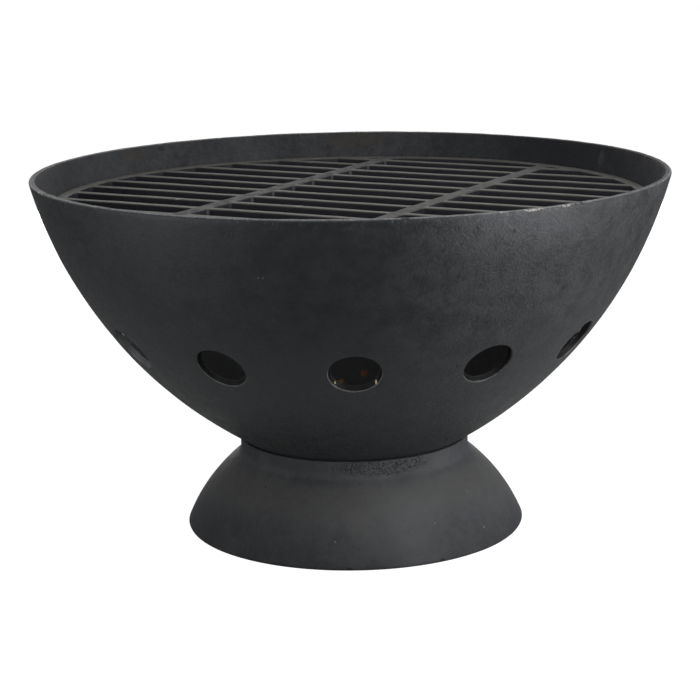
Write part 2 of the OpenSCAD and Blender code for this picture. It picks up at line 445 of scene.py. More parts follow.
def pierce_bolt_holes(bm, fasteners, top, bottom):
    """Runs the bolts' holes through a flat plate that has rings at both edges of the bolt band."""
    rounding, margin = 0.0003, 1e-4
    ring = fasteners.circle_d / 2
    places = bolt_places(fasteners)
    centres = [p.translation for p in places]

    def nearest(point):
        return min(range(len(centres)), key=lambda i: (point.xy - centres[i].xy).length)

    def inside(point):
        near = centres[nearest(point)]
        aside = atan2(near.x * point.y - near.y * point.x, near.x * point.x + near.y * point.y)
        return (bottom - margin < point.z < top + margin and abs(hypot(*point.xy) - ring) < HOLE_BAND
                and abs(aside) < WINDOW * COLUMN_STEP)

    loops = {}
    for e in open_windows(bm, inside):
        at = middle_of(e)
        loops.setdefault((nearest(at), at.z > (top + bottom) / 2), []).append(e)
    levels = rounded_levels(fasteners.bolt_d / 2 + fasteners.hole_gap, rounding, top - bottom, 2)
    for i, place in enumerate(places):
        lift = Matrix.Translation((0, 0, top)) @ place
        pierce(bm, loops[i, True], loops[i, False], lift, levels,
               lambda co, depth: Vector((co.x, co.y, top - depth)))


def uneven(bm, depth, size, seed, share=lambda co: 1.0):
    """Sinks the skin of a casting by up to depth, in soft lumps of about the given size."""
    bm.normal_update()
    offset = Vector((seed, -seed, 2 * seed))
    for v in bm.verts:
        lump = noise.fractal(v.co / size + offset, 1.0, 2.0, 3)
        v.co -= v.normal * depth * share(v.co) * clamp(0.5 + lump)


def mark_edges(bm):
    """Keeps how sharply the skin turns outwards at each vertex, for the wear in the finishes."""
    blunt, span = 0.15, 0.6
    layer = bm.verts.layers.float.new("edge")
    bm.normal_update()
    for v in bm.verts:
        turn = sum(max(0.0, e.calc_face_angle_signed(0.0)) for e in v.link_edges)
        v[layer] = clamp((turn - blunt) / span)


def make_piece(name, bm, finishes, node, body="fire_pit", sharp=40):
    """Makes an object of a finished bmesh, which rides on a body and stands for a CAD node."""
    mesh = to_mesh(bm, name)
    for finish in finishes:
        mesh.materials.append(finish)
    mesh.shade_smooth()
    mesh.set_sharp_from_angle(angle=radians(sharp))
    piece = bpy.data.objects.new(name, mesh)
    bpy.context.scene.collection.objects.link(piece)
    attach(piece, body)
    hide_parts(node)


# ---------------------------------------------------------------------------------------------------------
# Finishes
# ---------------------------------------------------------------------------------------------------------

class Value:
    """A number, colour or vector inside a finish. Numbers are worked out with Python's own operators."""

    def __init__(self, nodes, socket):
        self.nodes = nodes
        self.socket = socket

    def maths(self, operation, *values):
        """A Math node."""
        return self.nodes.node("Math", {"operation": operation}, dict(enumerate(values)))

    def __add__(self, other):
        return self.maths("ADD", self, other)

    def __sub__(self, other):
        return self.maths("SUBTRACT", self, other)

    def __rsub__(self, other):
        return self.maths("SUBTRACT", other, self)

    def __mul__(self, other):
        return self.maths("MULTIPLY", self, other)

    def __abs__(self):
        return self.maths("ABSOLUTE", self)

    __radd__ = __add__
    __rmul__ = __mul__

    def root(self):
        """The square root."""
        return self.maths("SQRT", self)

    def most(self, other):
        """The larger of two numbers."""
        return self.maths("MAXIMUM", self, other)

    def ramp(self, low, high, start=0.0, end=1.0):
        """A smooth step from start to end, as the number goes from low to high."""
        return self.nodes.node(
            "MapRange", {"interpolation_type": "SMOOTHSTEP"},
            {"Value": self, "From Min": low, "From Max": high, "To Min": start, "To Max": end})

    def fall(self, low, high):
        """A smooth step down from 1 to 0."""
        return self.ramp(low, high, 1.0, 0.0)

    def axis(self, name):
        """One coordinate of a vector, or the first, second or third part of a colour as X, Y or Z."""
        return self.nodes.node("SeparateXYZ", inputs={0: self}, out=name)

    def length(self):
        """The length of a vector."""
        return self.nodes.vector("LENGTH", self, out="Value")


class Nodes:
    """The nodes of a material or a world."""

    def __init__(self, owner):
        owner.use_nodes = True
        self.tree = owner.node_tree

    def node(self, kind, settings=None, inputs=None, out=0):
        """Adds a node, with its settings first and then its inputs, and returns one of its outputs."""
        made = self.tree.nodes.new("ShaderNode" + kind)
        for key, value in (settings or {}).items():
            setattr(made, key, value)
        for key, value in (inputs or {}).items():
            self.feed(self.socket(made.inputs, key), value)
        return Value(self, self.socket(made.outputs, out))

    @staticmethod
    def socket(sockets, key):
        """A socket by its place, identifier or name."""
        if isinstance(key, int):
            return sockets[key]
        return next(s for s in sockets if key in (s.identifier, s.name))

    def feed(self, socket, value):
        """Links a value to a socket, or sets the socket to a constant."""
        if isinstance(value, Value):
            self.tree.links.new(value.socket, socket)
        else:
            socket.default_value = value

    def vector(self, operation, *values, out=0):
        """A Vector Math node."""
        return self.node("VectorMath", {"operation": operation}, dict(enumerate(values)), out)

    def ray(self, kind):
        """1 for one kind of ray, such as Camera, and 0 for the others."""
        return self.node("LightPath", out=f"Is {kind} Ray")


class Finish(Nodes):
    """One material. It starts from a colour, and more colours are laid over it one by one."""

    def __init__(self, name):
        self.material = bpy.data.materials.new(name)
        super().__init__(self.material)
        self.shader = self.tree.nodes["Principled BSDF"]
        self.at = self.node("TexCoord", out="Object")  # the point's own coordinates on the model, in metres

    @property
    def x(self):
        """How far a point lies to the right of the middle."""
        return self.at.axis("X")

    @property
    def z(self):
        """How high a point lies."""
        return self.at.axis("Z")

    def wall_depth(self):
        """How deep a point lies in the bowl's wall, below its outer skin."""
        bowl = bpy.context.scene.fire_pit_bowl
        c = bowl_centre(bowl)
        r = self.vector("MULTIPLY", self.at, (1, 1, 0)).length() - c.x
        z = self.z - c.y
        return bowl.arc_r - (r * r + z * z).root()

    def along_bars(self, turn):
        """How far along the grate's bars a point lies from the middle."""
        return self.vector("DOT_PRODUCT", self.at, (cos(turn), sin(turn), 0.0), out="Value")

    def cloud(self, size, detail=3.0, rough=0.65, warp=0.0, at=None):
        """Soft noise with features of about the given size."""
        return self.node("TexNoise", inputs={"Vector": at or self.at, "Scale": 1 / size, "Detail": detail,
                                             "Roughness": rough, "Distortion": warp})

    def spots(self, size, share, low, high):
        """Round spots in a share of cells of the given size. They fade between two parts of a cell."""
        cells = {"Vector": self.at, "Scale": 1 / size}
        near = self.node("TexVoronoi", inputs=cells, out="Distance")
        chance = self.node("TexVoronoi", inputs=cells, out="Color").axis("X")
        return near.fall(low, high) * chance.maths("LESS_THAN", chance, share)

    def patch(self, middle, size, ragged):
        """A soft oval patch with a ragged outline."""
        middle, size = (tuple(n / 1000 for n in lengths) for lengths in (middle, size))
        away = self.vector("DIVIDE", self.vector("SUBTRACT", self.at, middle), size).length()
        edge = self.cloud(0.35 * min(size), 2.0, 0.5)
        return (away + (edge - 0.5) * 2 * ragged).fall(0.6, 1.0)

    def patches(self, marks, ragged=0.4):
        """The patches of a list of marks, as one share."""
        total = self.patch(*marks[0], ragged)
        for mark in marks[1:]:
            total = total.most(self.patch(*mark, ragged))
        return total

    def stretched(self, scale):
        """A point, scaled along each axis."""
        return self.node("Mapping", inputs={"Vector": self.at, "Scale": scale})

    def mix(self, first, second, share):
        """A colour between two colours."""
        first, second = (c if isinstance(c, Value) else (*c, 1.0) for c in (first, second))
        return self.node("Mix", {"data_type": "RGBA"},
                         {"Factor_Float": share, "A_Color": first, "B_Color": second}, "Result_Color")

    def start(self, dark, light, share):
        """Sets the first colour, between a dark and a light one."""
        self.colour = self.mix(dark, light, share)

    def lay(self, colour, share):
        """Lays another colour over those so far."""
        self.colour = self.mix(self.colour, colour, share)

    def dress(self, roughness, height, specular, metallic=0.0, tint=(1.0, 1.0, 1.0)):
        """Feeds the shader and returns the material. The height is in metres, and the last three are
        constants."""
        bump = self.node("Bump", inputs={"Height": height, "Distance": 1.0, "Strength": 1.0})
        for key, value in {"Base Color": self.colour, "Roughness": roughness, "Normal": bump,
                           "Specular IOR Level": specular, "Specular Tint": (*tint, 1.0),
                           "Metallic": metallic}.items():
            self.feed(self.shader.inputs[key], value)
        return self.material


# Marks of use and of painted light and shade, each as its middle and its half lengths, in millimetres.
# Rim chips: chipped coat whose brightness is partly a painted glint.
RIM_CHIPS_AND_GLINTS = [
    ((144, -261.5, 342), (9, 7, 3)), ((154, -256, 342), (4, 3, 3)), ((176, -241.5, 342), (8, 7, 3)),
    ((-274.5, -117, 340), (7, 12, 6)),
]
RIM_NICKS = [
    ((188, -232, 342), (6, 6, 3)), ((-269, -129, 342), (5, 8, 3)), ((42, -296, 342), (5, 4, 3)),
]
# Pits whose darkness is painted shade in their hollows.
BOWL_PITS = [
    ((131.2, -264.1, 325.4), (1.6, 1.6, 2.4)), ((110.4, -235.5, 243.8), (2.2, 2.2, 1.8)),
    ((87.1, -216.3, 201.8), (2.2, 2.2, 2.2)), ((179.3, -203.9, 265.4), (5, 5, 4)),
]
BOWL_DUST = [((-78, -272.2, 291.9), (1, 1, 1)), ((-74, -273.3, 291.9), (1, 1, 1))]
INSIDE_BROWN = [((-221.7, 189.6, 335.3), (16, 16, 8)), ((10, 291, 335), (38, 25, 11))]
INSIDE_SMUDGES = [
    ((-196, 217, 338), (7, 7, 3)), ((-283.8, 55.5, 326.4), (4, 7, 4)),
    ((-278.5, 72.8, 321.9), (4, 6, 3)),
]
INSIDE_RUST = [((286.7, 55.4, 335.8), (10, 24, 7)), ((293.1, -7.2, 339.3), (6, 20, 5))]
INSIDE_ASH = [((226.2, 179.5, 328.2), (26, 30, 7))]
INSIDE_SMEAR = [((255, 138.3, 330), (5, 6, 11))]
# Painted light: crescents of light on the centre vent's sill.
VENT_LIGHT_CRESCENTS = [((18.1, -219.6, 189.6), (1.3, 1.8, 2.6)), ((-17.3, -218.6, 189.7), (1, 1.4, 2))]
LITTER_RED = [
    ((12, 133, 112.1), (4.2, 6, 4.5)), ((-56, 90, 95), (5, 6, 3)), ((5.8, -215, 182.8), (2.2, 2, 2)),
]
LITTER_GOLD = [((-12.5, 122.6, 105), (5, 8, 5)), ((30, 60, 94.5), (4, 7, 3))]
# Pits whose darkness is painted shade in their hollows.
COLLAR_PITS = [((26, -106, 81.5), (56, 40, 10.5))]
PEDESTAL_DUST = [
    ((103.8, -83.7, 49.9), (1.2, 1.2, 1.2)), ((118.4, -100, 19.7), (1.4, 1.4, 1.4)),
    ((-20, -150.8, 24.7), (1.2, 1.2, 1.2)), ((71.6, -127.8, 33.5), (0.8, 0.8, 5)),
]
# Nicks whose darkness is painted shade in their hollows.
PEDESTAL_NICKS = [((-7.8, -161.9, 2.6), (3, 2, 1.6)), ((77, -142.7, 2.9), (3, 3, 1.6))]
GRATE_SPECKS = [((-161.4, -5, 317.5), (4, 2, 2)), ((-46.5, -62.8, 318), (3, 2, 2))]

# Colours of the marks.
# Soot, and painted shade below the grate and in the pits and nicks.
SOOT_AND_PAINTED_SHADE = (0.006, 0.006, 0.006)
FRESH_IRON = (0.62, 0.62, 0.61)
# Chipped rim, partly a painted glint.
CHIPPED_RIM_AND_GLINT = (0.62, 0.60, 0.55)
# Painted light of the crescents on the centre vent's sill.
VENT_CRESCENT_LIGHT = (0.55, 0.45, 0.27)
# Partly bared iron, partly a painted highlight of the vents' lit edges.
BARED_AND_LIT_EDGE = (0.110, 0.112, 0.112)
# Soot and painted shade deep in the vents.
VENT_SOOT_AND_SHADE = (0.0015, 0.0015, 0.0015)
# Painted light in the far-left vent, which the left lamp lights.
VENT_LEFT_LIGHT = (0.050, 0.052, 0.056)
DUST = (0.2, 0.2, 0.2)
DUST_ON_COAT = (0.090, 0.092, 0.100)


def rim_wear(f, tone, grain):
    """Wears the coat off the rim's flat top, fading on the far right as painted shade, with chips down to
    bright iron that are partly painted glints, and black nicks.
    """
    top = f.z.ramp(RIM_Z - 0.0013, RIM_Z - 0.0004)
    rub = 0.6 + 0.4 * f.cloud(0.009, 5.0, 0.8).ramp(0.4, 0.62)
    # Painted shade: the worn grey fades towards the rim's far right.
    f.lay(tone.worn, top * (rub * (0.55 + 0.45 * grain.ramp(0.4, 0.6)) * f.x.ramp(0.18, 0.28, 1.0, 0.45)))
    f.lay(FRESH_IRON, f.spots(0.006, 0.3, 0.12, 0.3) * top * 0.9)
    crumbs = f.cloud(0.003, 3.0, 0.7)
    # Chips down to bright iron, partly painted glints.
    f.lay(CHIPPED_RIM_AND_GLINT,
          f.patches(RIM_CHIPS_AND_GLINTS) * f.z.ramp(RIM_Z - 0.0024, RIM_Z - 0.0014) * crumbs.ramp(0.42, 0.6))
    f.lay(SOOT_AND_PAINTED_SHADE, f.patches(RIM_NICKS) * f.z.ramp(RIM_Z - 0.0022, RIM_Z - 0.0012) * crumbs.ramp(0.4, 0.55))


def vent_wear(f):
    """Bares the vents' outer edges, paler partly as a painted highlight of the lit edge, and blackens the rest
    of their walls with soot and painted shade. On the left they stay greyer as painted light, and the centre
    vent's sill gets painted light crescents.
    """
    wall = bpy.context.scene.fire_pit_bowl.wall
    depth = f.wall_depth()
    in_vent = depth.fall(wall - 0.0009, wall - 0.0005) * f.z.fall(0.29, 0.3)
    # The vents' outer edges: bared iron, partly a painted highlight of the lit edge.
    f.lay(BARED_AND_LIT_EDGE, depth.ramp(0.0004, 0.0007) * in_vent * f.cloud(0.01, 3.0, 0.6).ramp(0.3, 0.6, 0.4, 1.0))
    # Vent walls blackened with soot and painted shade, and kept greyer on the left as painted light.
    f.lay(f.mix(VENT_LEFT_LIGHT, VENT_SOOT_AND_SHADE, f.x.ramp(-0.17, -0.14)), depth.ramp(0.0012, 0.0018) * in_vent)
    # Painted light crescents on the centre vent's sill.
    f.lay(VENT_CRESCENT_LIGHT, f.patches(VENT_LIGHT_CRESCENTS, 0.7) * 0.9)


def bowl_coat(tone):
    """Black coat on sand-cast iron: fine grain, a frosted right side painted paler as painted light, a painted
    highlight under the rim, a lower wall painted paler as painted bounce light, pits darkened as painted
    shade, dust and a worn rim.
    """
    f = Finish("bowl_coat")
    patch = f.cloud(0.11, 4.0, 0.55)
    cast = f.cloud(0.02, 4.0, 0.65, 0.3)
    mottle = f.cloud(0.0065)
    grain = f.cloud(0.0026, 3.0, 0.7)
    # Painted light on the right side: a paler frosted coat stands for the right-hand lamps' light; this mask
    # also makes the bump stronger there.
    frost_and_painted_light = f.x.ramp(-0.03, 0.13)
    f.start(tone.coat_dark, tone.coat_light,
            patch.ramp(0.3, 0.7) * 0.3 + cast.ramp(0.35, 0.65) * 0.35 + mottle.ramp(0.35, 0.65) * 0.2
            + grain.ramp(0.35, 0.65) * 0.15)
    f.lay(tone.frost_and_painted_light,
          frost_and_painted_light * (cast.ramp(0.42, 0.62) * 0.5 + mottle.ramp(0.45, 0.6) * 0.25
                   + grain.ramp(0.45, 0.6) * 0.25))
    # Painted bounce light from the floor: the lower wall is painted paler.
    f.lay(tone.coat_low_painted_bounce, f.z.ramp(0.12, 0.27, 0.8, 0.0))
    # Painted highlight under the rim on the pit's right.
    rim_highlight_mask = f.z.ramp(0.296, 0.334) * f.x.ramp(0.04, 0.12) * f.x.ramp(0.15, 0.22, 0.85, 0.12)
    f.lay(tone.painted_rim_highlight, rim_highlight_mask * (0.45 + 0.3 * cast.ramp(0.4, 0.6) + 0.25 * mottle.ramp(0.42, 0.58)))
    scrapes = f.cloud(0.0022, 3.0, 0.75, at=f.stretched((1.0, 1.0, 0.5))).ramp(0.52, 0.66)
    f.lay(tone.worn, scrapes * f.z.ramp(0.331, 0.342) * cast.ramp(0.45, 0.6) * f.x.ramp(-0.2, -0.1) * 0.14)
    pits = f.spots(0.011, 0.1, 0.05, 0.1)
    pits_painted_shade = pits.most(f.patches(BOWL_PITS))
    # Painted shade: the pits are darkened in colour for the shade in their hollows, and sunk in the bump.
    f.lay((0.004, 0.004, 0.004), pits_painted_shade * 0.85)
    f.lay(DUST_ON_COAT, f.spots(0.02, 0.07, 0.02, 0.045).most(f.patches(BOWL_DUST)) * 0.7)
    vent_wear(f)
    rim_wear(f, tone, grain)
    roughness = 0.52 + (mottle - 0.5) * 0.35 + (cast - 0.5) * 0.4 + pits * 0.2
    height = (grain * 0.0005 + mottle * 0.0004) * (0.5 + 1.1 * frost_and_painted_light) + cast * 0.0004 - pits_painted_shade * 0.0004
    return f.dress(roughness, height, 0.33, tint=tone.sheen)


def bowl_inside(tone):
    """Inside of the bowl: uneven black with brownish and smudged patches, ash specks, a little rust, a right
    side darkened as painted shade, and soot with painted shade below the grate with some litter in it."""
    f = Finish("bowl_inside")
    patch = f.cloud(0.06, 4.0, 0.6)
    mottle = f.cloud(0.008)
    grain = f.cloud(0.0024)
    f.start(tone.inside_dark, tone.inside_light,
            patch.ramp(0.35, 0.65) * 0.4 + mottle.ramp(0.35, 0.65) * 0.35 + grain.ramp(0.35, 0.65) * 0.25)
    stain = f.cloud(0.03, 3.0, 0.6, at=f.stretched((1.0, 1.0, 0.7))).ramp(0.6, 0.8) * 0.3
    f.lay((0.088, 0.074, 0.055), stain.most(f.patches(INSIDE_BROWN, 0.9) * 0.45))
    smudge = (f.cloud(0.028, 2.0, 0.5, 0.4).ramp(0.66, 0.74) * 0.6).most(f.patches(INSIDE_SMUDGES, 0.8))
    f.lay((0.014, 0.014, 0.015), smudge * 0.5)
    # Painted shade: the inside's right wall, which faces away from the right-hand lamps, is painted darker.
    f.lay((0.016, 0.017, 0.021), f.x.ramp(0.02, 0.27) * 0.7)
    f.lay(tone.rust, f.spots(0.004, 0.3, 0.1, 0.3) * f.patches(INSIDE_RUST, 0.8) * 0.8)
    ash = f.spots(0.006, 0.3, 0.07, 0.16) * f.patches(INSIDE_ASH, 0.8)
    f.lay((0.3, 0.3, 0.31), ash.most(f.patches(INSIDE_SMEAR, 0.9) * 0.35) * 0.8)
    # Soot and painted shade below the grate, where the grate shades the inside. There is less of it on the far
    # left, as painted light seen through the left vent.
    f.lay(SOOT_AND_PAINTED_SHADE, f.z.fall(0.265, 0.305) * f.x.ramp(-0.205, -0.18, 0.1, 1.0) * 0.78)
    f.lay((0.15, 0.06, 0.036), f.patches(LITTER_RED, 0.9))
    f.lay((0.24, 0.14, 0.05), f.patches(LITTER_GOLD, 0.9))
    vent_wear(f)
    rim_wear(f, tone, grain)
    return f.dress(0.58 + (mottle - 0.5) * 0.4, grain * 0.00016 + mottle * 0.0006, 0.13)


def pedestal_coat(tone):
    """The pedestal's rougher, greyer black: a collar darkened as painted shade of the bowl, a foot darker
    towards the bottom, a paler band between, a left side darkened as painted shade, a paler band on the right
    as painted light, and pits darkened as painted shade.
    """
    f = Finish("pedestal_coat")
    patch = f.cloud(0.05, 4.0, 0.55, 0.3)
    mottle = f.cloud(0.009)
    grain = f.cloud(0.0024, 3.0, 0.7)
    f.start(tone.foot_dark, tone.foot_light,
            patch.ramp(0.3, 0.7) * 0.4 + mottle.ramp(0.3, 0.7) * 0.35 + grain.ramp(0.3, 0.7) * 0.25)
    f.lay((0.090, 0.090, 0.087), f.cloud(0.045, 3.0, 0.6, 0.4).ramp(0.5, 0.68) * 0.45)
    f.lay((0.086, 0.085, 0.080), f.z.ramp(0.025, 0.05) * f.z.fall(0.062, 0.07) * 0.4)
    # Painted shade: the collar is darkened under the bowl, more on the left.
    f.lay(tone.coat_dark, f.z.ramp(0.066, 0.08) * f.x.ramp(-0.06, 0.0, 0.28, 0.1))
    f.lay(tone.coat_dark, f.z.ramp(0.0, 0.05, 0.4, 0.0))
    # Painted shade: the pedestal's left side, away from the right-hand lamps, is painted darker.
    f.lay(tone.coat_dark, f.x.ramp(-0.1, 0.05, 0.15, 0.0))
    # Painted light: a pale band right of the dome's middle, where the right-hand lamps' light sets in.
    f.lay((0.125, 0.127, 0.131),
          f.x.ramp(0.01, 0.05) * f.x.fall(0.055, 0.1) * f.z.ramp(0.05, 0.075, 0.26, 0.12))
    pits = f.cloud(0.0019, 3.0, 0.75).ramp(0.5, 0.62) * f.patches(COLLAR_PITS, 0.3)
    hollow_painted_shade = pits.most(f.spots(0.012, 0.1, 0.04, 0.09)).most(f.patches(PEDESTAL_NICKS))
    # Painted shade: pits and nicks are darkened for the shade in their hollows, and sunk in the bump.
    f.lay(SOOT_AND_PAINTED_SHADE, hollow_painted_shade * 0.45)
    f.lay(DUST, f.spots(0.017, 0.08, 0.02, 0.05).most(f.patches(PEDESTAL_DUST)) * 0.45)
    roughness = 0.6 + (mottle - 0.5) * 0.3 + hollow_painted_shade * 0.2
    return f.dress(roughness, grain * 0.0002 + mottle * 0.0006 - hollow_painted_shade * 0.0006, 0.03)


def dusty_iron(tone):
    """The grate's bare iron: dusty upper faces, paler partly as painted light, sides darkened as painted
    shade, cross ribs rubbed darker, painted highlights on fillet corners, and bright specks from knocks.
    """
    f = Finish("dusty_iron")
    grate = bpy.context.scene.fire_pit_grate
    rib_x, rib = grate.rib_spacing / 2, grate.rib_w / 2
    patch = f.cloud(0.05, 4.0, 0.6)
    mottle = f.cloud(0.008, 3.0, 0.6)
    grain = f.cloud(0.002, 3.0, 0.6)
    top = f.z.ramp(GRATE_Z - 0.0014, GRATE_Z - 0.0005)
    dust_and_painted_top_light = f.mix(tone.grate_mid, tone.grate_light,
                  patch.ramp(0.3, 0.7) * 0.5 + mottle.ramp(0.3, 0.7) * 0.3 + grain.ramp(0.3, 0.7) * 0.2)
    dust_and_painted_top_light = f.mix(dust_and_painted_top_light, tone.rust, patch.ramp(0.55, 0.75) * mottle.ramp(0.45, 0.7) * 0.2)
    along = f.along_bars(grate.turn)
    on_rib = abs(abs(along) - rib_x).fall(rib - 0.0015, rib + 0.0015)
    handled = on_rib * (0.4 + 0.4 * mottle.ramp(0.42, 0.6) * along.ramp(-0.05, 0.05, 1.0, 0.5))
    dust_and_painted_top_light = f.mix(dust_and_painted_top_light, (0.048, 0.050, 0.056), handled)
    # Painted shade on the sides and painted light on the upper faces: the sides take the dark colour, the tops
    # the dusty one.
    f.start(tone.grate_painted_shade, dust_and_painted_top_light, top)
    # Painted highlight: the fillet corners at the gaps' left ends, which face the right-hand lamps, are
    # painted pale.
    corner = abs(along + (rib_x - rib - 0.0015)).fall(0.0007, 0.0016)
    f.lay((0.130, 0.131, 0.136), corner * (1.0 - top) * patch.ramp(0.35, 0.55))
    f.lay((0.6, 0.6, 0.6), f.spots(0.014, 0.12, 0.06, 0.14).most(f.patches(GRATE_SPECKS)) * top)
    roughness = 0.5 + (mottle - 0.5) * 0.3 + handled * 0.28
    return f.dress(roughness, grain * 0.0002 + mottle * 0.0005, 0.3)


def zinc_plate(tone):
    """Dulled zinc with a trace of rust away from the edges."""
    f = Finish("zinc_plate")
    mottle = f.cloud(0.003, 3.0, 0.6)
    edge = f.node("Attribute", {"attribute_name": "edge"}, out="Fac")
    f.start(tone.zinc, tuple(c * 0.6 for c in tone.zinc), mottle.ramp(0.35, 0.7))
    f.lay(tone.rust, (mottle - edge * 0.2).ramp(0.62, 0.75) * 0.6)
    height = f.cloud(0.0008, 2.0, 0.5) * 0.00004 + mottle * 0.00008
    return f.dress(0.42 + (mottle - 0.5) * 0.3, height, 0.5, 0.9)


# ---------------------------------------------------------------------------------------------------------
# Pieces
# ---------------------------------------------------------------------------------------------------------

def draw_bowl(bm, bowl, band):
    """Draws the bowl's profile, from the drain hole's lower edge round to its upper edge. Returns the centre
    of the wall's arcs, the vents' heading from it, and the heading from one row of faces to the next."""
    c = bowl_centre(bowl)
    outer_r, inner_r = bowl.arc_r, bowl.arc_r - bowl.wall
    floor_z = SEAT_Z + bowl.floor_t
    drain_r, seat_r = bowl.drain_d / 2, bowl.seat_d / 2
    vent = heading(c, at_height(c, outer_r, SEAT_Z + bowl.vent_h))
    outer_c = at_height(c, outer_r - bowl.rim_round, RIM_Z - bowl.rim_round)
    inner_c = at_height(c, inner_r + bowl.rim_round, RIM_Z - bowl.rim_round)
    fillet_c = at_height(c, inner_r - bowl.floor_fillet, floor_z + bowl.floor_fillet)
    row = COLUMN_STEP * (c.x + outer_r * cos(vent)) / outer_r
    pen = Pen(bm, drain_r, SEAT_Z)
    pen.lines((band[0], SEAT_Z, 8), (band[1], SEAT_Z, 4), (seat_r, SEAT_Z, 5))
    for start, end in ((heading(c, (seat_r, SEAT_Z)), vent), (vent, heading(c, outer_c))):
        pen.arc(c, end, round((end - start) / row))
    pen.arc(outer_c, pi / 2, 5)
    pen.line(inner_c.x, RIM_Z)
    pen.arc(inner_c, pi + heading(c, inner_c), 5)
    pen.line(*(c + inner_r * towards(heading(c, inner_c))))
    for start, end in ((heading(c, inner_c), vent), (vent, heading(c, fillet_c))):
        pen.arc(c, end, round((start - end) / row))
    pen.arc(fillet_c, -pi / 2, 6)
    pen.lines((band[1], floor_z, 2), (band[0], floor_z, 4), (drain_r, floor_z, 8), (drain_r, SEAT_Z, 2))
    return c, vent, row


def pierce_vent(bm, bowl, c, vent, row):
    """Opens the vent in a sector of the bowl, square to the wall, with rounded edges, and narrower inside."""
    straight = 0.1  # share of the wall that a vent is straight for, before it narrows
    out = towards(vent).to_3d().xzy

    def inside(co):
        turn = heading(c, (hypot(co.x, co.y), co.z))
        return (abs(atan2(co.y, co.x)) < WINDOW * COLUMN_STEP and abs(turn - vent) < WINDOW * row
                and depth_in_wall(bowl, c, co) < 1.5 * bowl.wall)

    def settle(co, depth):
        for _ in range(8):
            co = co - out * (depth - depth_in_wall(bowl, c, co))
        return co

    loops = {True: [], False: []}
    for e in open_windows(bm, inside):
        loops[depth_in_wall(bowl, c, middle_of(e)) < bowl.wall / 2].append(e)
    place = Matrix.Translation(Vector((c.x, 0, c.y)) + bowl.arc_r * out)
    place = place @ out.to_track_quat("Z", "Y").to_matrix().to_4x4()
    levels = [(r - bowl.vent_taper * max(0.0, d / bowl.wall - straight), d)
              for r, d in rounded_levels(bowl.vent_d / 2, bowl.vent_round, bowl.wall)]
    pierce(bm, loops[True], loops[False], place, levels, settle)


def add_lugs(bm, bowl, grate, c):
    """Adds the lugs that the grate lies on. Each widens sideways and downwards where it meets the wall."""
    rounding, lean, top_margin, sag = 0.0015, 0.35, 0.003, 0.7
    columns, rows = 8, 6
    top = GRATE_Z - grate.depth - grate.lug_gap
    tip = ring_radii(bowl, grate)[1]
    root = bowl.arc_r - bowl.wall / 2
    corners = {
        (-1, 1): Vector((tip, top)),
        (1, 1): at_height(c, root, top),
        (1, -1): at_height(c, root, top - bowl.lug_h),
        (-1, -1): Vector((tip, top - bowl.lug_tip_h)),
    }
    for i in range(bowl.lug_count):
        lug = bmesh.new()
        bmesh.ops.create_cube(lug, size=2)
        for v in lug.verts:
            r, z = corners[round(v.co.x), round(v.co.z)]
            v.co = Vector((r, v.co.y * bowl.lug_w / 2, z))
        rounded = [e for e in lug.edges
                   if abs(e.verts[0].co.x - e.verts[1].co.x) > 0.001 or e.verts[0].co.x < tip + 1e-4]
        bmesh.ops.bevel(lug, geom=rounded, offset=rounding, segments=3, profile=0.5, affect="EDGES",
                        material=-1)
        for k in range(1, columns):
            reach = tip + (corners[1, 1].x - tip) * k / columns
            cut(lug, (reach, 0, top), (1, 0, -lean))
        for k in range(1, rows):
            cut(lug, (0, 0, top - bowl.lug_h * k / rows), (0, 0, 1))
        for v in lug.verts:
            gap = depth_in_wall(bowl, c, Vector((v.co.x, 0, v.co.z))) - bowl.wall
            near = clamp(1 - gap / bowl.lug_flare)
            flare = bowl.lug_flare * (1 - sqrt(1 - near * near))
            v.co.y *= 1 + flare / (bowl.lug_w / 2)
            if v.co.z < top - top_margin:
                v.co.z -= flare * sag
        lug.transform(Matrix.Rotation((i + 0.5) * 2 * pi / bowl.lug_count, 4, "Z"))
        join(bm, lug)


def choose_finishes(bm, bowl, c):
    """Gives each face of the bowl its finish: 0 for the coat outside, and 1 for the inside. The change lies
    in the middle of the rim. In the vents it lies near the inner skin on the left and near the outer skin
    elsewhere."""
    left_x = -0.17
    for f in bm.faces:
        co = f.calc_center_median()
        skin = 0.5 if co.z > GRATE_Z else 0.9 if co.x < left_x else 0.2
        deep = depth_in_wall(bowl, c, co) > bowl.wall * skin
        f.material_index = int(deep and co.z > SEAT_Z + bowl.floor_t / 2)


class FIREPIT_OT_bowl(bpy.types.Operator):
    """Make the bowl casting, with its vents, lugs, drain hole and bolt holes"""

    bl_idname = "fire_pit.bowl"
    bl_label = "Make Bowl"
    bl_options = {"REGISTER", "UNDO"}

    def execute(self, context):
        scene = context.scene
        bowl, grate, fasteners = scene.fire_pit_bowl, scene.fire_pit_grate, scene.fire_pit_fasteners
        bm = bmesh.new()
        c, vent, row = draw_bowl(bm, bowl, bolt_band(fasteners))
        turn_sector(bm, bowl.vent_count, COLUMNS // bowl.vent_count)
        pierce_vent(bm, bowl, c, vent, row)
        repeat_sector(bm, bowl.vent_count)
        pierce_bolt_holes(bm, fasteners, SEAT_Z + bowl.floor_t, SEAT_Z)
        bmesh.ops.recalc_face_normals(bm, faces=bm.faces)
        uneven(bm, depth=0.0003, size=0.07, seed=3.1, share=lambda co: clamp((co.z - SEAT_Z) / 0.01))
        uneven(bm, depth=0.0002, size=0.012, seed=5.7, share=lambda co: clamp((co.z - RIM_Z + 0.003) / 0.003))
        add_lugs(bm, bowl, grate, c)
        choose_finishes(bm, bowl, c)
        tone = scene.fire_pit_finish
        make_piece("bowl_casting", bm, [bowl_coat(tone), bowl_inside(tone)], "bowl")
        return {"FINISHED"}


